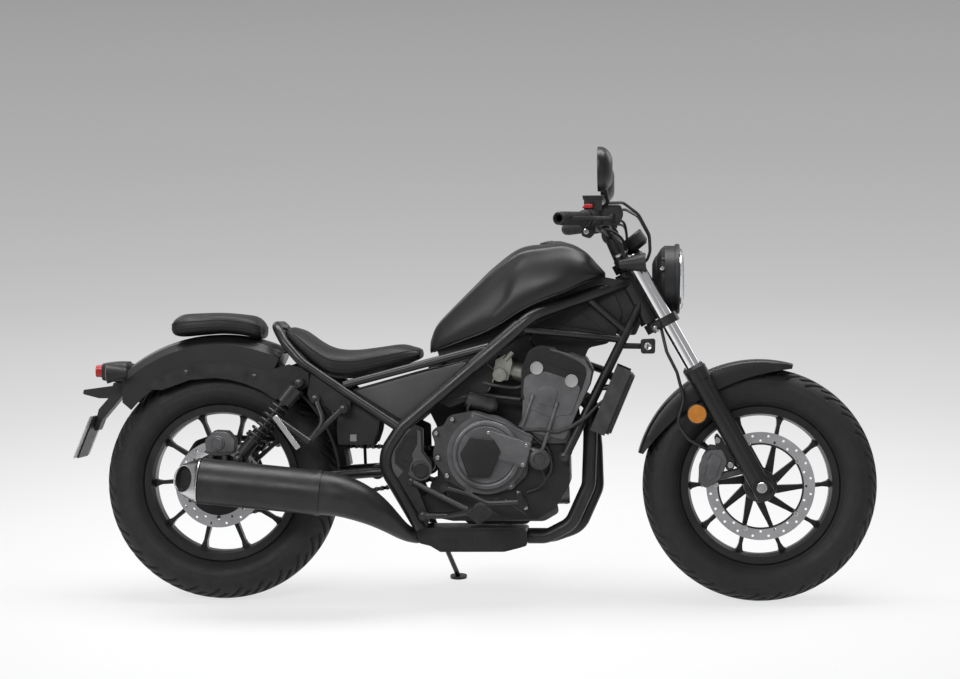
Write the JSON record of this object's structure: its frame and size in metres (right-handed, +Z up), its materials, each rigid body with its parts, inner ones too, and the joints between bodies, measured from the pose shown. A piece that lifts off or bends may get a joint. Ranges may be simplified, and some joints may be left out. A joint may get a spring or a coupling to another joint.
{
  "type": "cruiser motorcycle",
  "caption": "Cruiser motorcycle leaning on its side stand, with turning wheels, a steering fork and a folding stand.",
  "frame": {"origin": "middle of the bounding box at ground level", "axes": "+X forward, +Y to the rider's left, +Z up"},
  "size_m": [2.2187, 0.8788, 1.274],
  "materials": {
    "tyre_rubber": "matt",
    "wheel_black": "satin",
    "disc_steel": "brushed",
    "chain_steel": "oiled",
    "frame_black": "satin",
    "body_black": "matt",
    "trim_black": "matt",
    "seat_cover": "grained",
    "engine_black": "satin black coat",
    "bolt_steel": "plain",
    "exhaust_black": "satin",
    "cap_silver": "satin",
    "fork_chrome": "polished",
    "lens_clear": "clear",
    "lens_red": "gloss",
    "lens_amber": "gloss",
    "plate_white": "gloss",
    "grip_rubber": "ribbed",
    "mirror_black": "gloss",
    "alloy_grey": "cast"
  },
  "bodies": {
    "chassis": {"frame": "frame_black", "seat_hoop": "frame_black", "side_covers": "trim_black", "fuel_tank": "body_black", "rider_seat": "seat_cover", "passenger_seat": "seat_cover", "rear_fender": "body_black", "fender_stays": "frame_black", "tail_lamp": "trim_black", "tail_lens": "lens_red", "rear_signals": "trim_black", "plate_carrier": "trim_black", "licence_plate": "plate_white", "crankcase": "engine_black", "cylinders": "engine_black", "right_engine_covers": "engine_black", "left_engine_covers": "engine_black", "intake": "alloy_grey", "radiator": "engine_black", "engine_hoses": "grip_rubber", "exhaust_headers": "exhaust_black", "exhaust_chamber": "exhaust_black", "muffler": "exhaust_black", "muffler_tip": "cap_silver", "swingarm": "frame_black", "rear_bolts": "bolt_steel", "shock_absorbers": "frame_black", "shock_springs": "frame_black", "drive_chain": "chain_steel", "chain_guard": "trim_black", "front_sprocket": "chain_steel", "key_lock": "trim_black", "rear_caliper": "engine_black", "footrests": "frame_black", "foot_controls": "frame_black"},
    "side_stand": {"side_stand": "frame_black"},
    "front_wheel": {"front_tyre": "tyre_rubber", "front_rim": "wheel_black", "front_disc": "disc_steel"},
    "rear_wheel": {"rear_tyre": "tyre_rubber", "rear_rim": "wheel_black", "rear_disc": "disc_steel", "rear_sprocket": "disc_steel"},
    "fork": {"fork_tubes": "fork_chrome", "fork_lowers": "wheel_black", "lower_crown": "frame_black", "upper_crown": "frame_black", "front_axle": "bolt_steel", "handlebar": "frame_black", "grips": "grip_rubber", "bar_controls": "trim_black", "mirrors": "mirror_black", "headlight": "trim_black", "headlight_lens": "lens_clear", "meter": "trim_black", "front_signals": "trim_black", "front_fender": "body_black", "front_caliper": "engine_black", "side_reflectors": "lens_amber", "hoses": "grip_rubber"}
  },
  "joints": [
    {"name": "steering", "type": "hinge", "parent": "chassis", "child": "fork", "pos_m": [0.40919, -0.02496, 0.91277], "axis": [-0.4695, 0.1305, 0.8732], "range_deg": [-36, 36]},
    {"name": "front_wheel_spin", "type": "hinge", "parent": "fork", "child": "front_wheel", "pos_m": [0.78743, -0.11365, 0.31936], "axis": [0, 0.989, -0.1478], "continuous": true},
    {"name": "rear_wheel_spin", "type": "hinge", "parent": "chassis", "child": "rear_wheel", "pos_m": [-0.70257, -0.11306, 0.32332], "axis": [0, 0.989, -0.1478], "continuous": true},
    {"name": "stand_fold", "type": "hinge", "parent": "chassis", "child": "side_stand", "pos_m": [-0.11057, 0.00521, 0.15398], "axis": [-0.1523, 0.9882, 0.0166], "range_deg": [0, 96]}
  ]
}
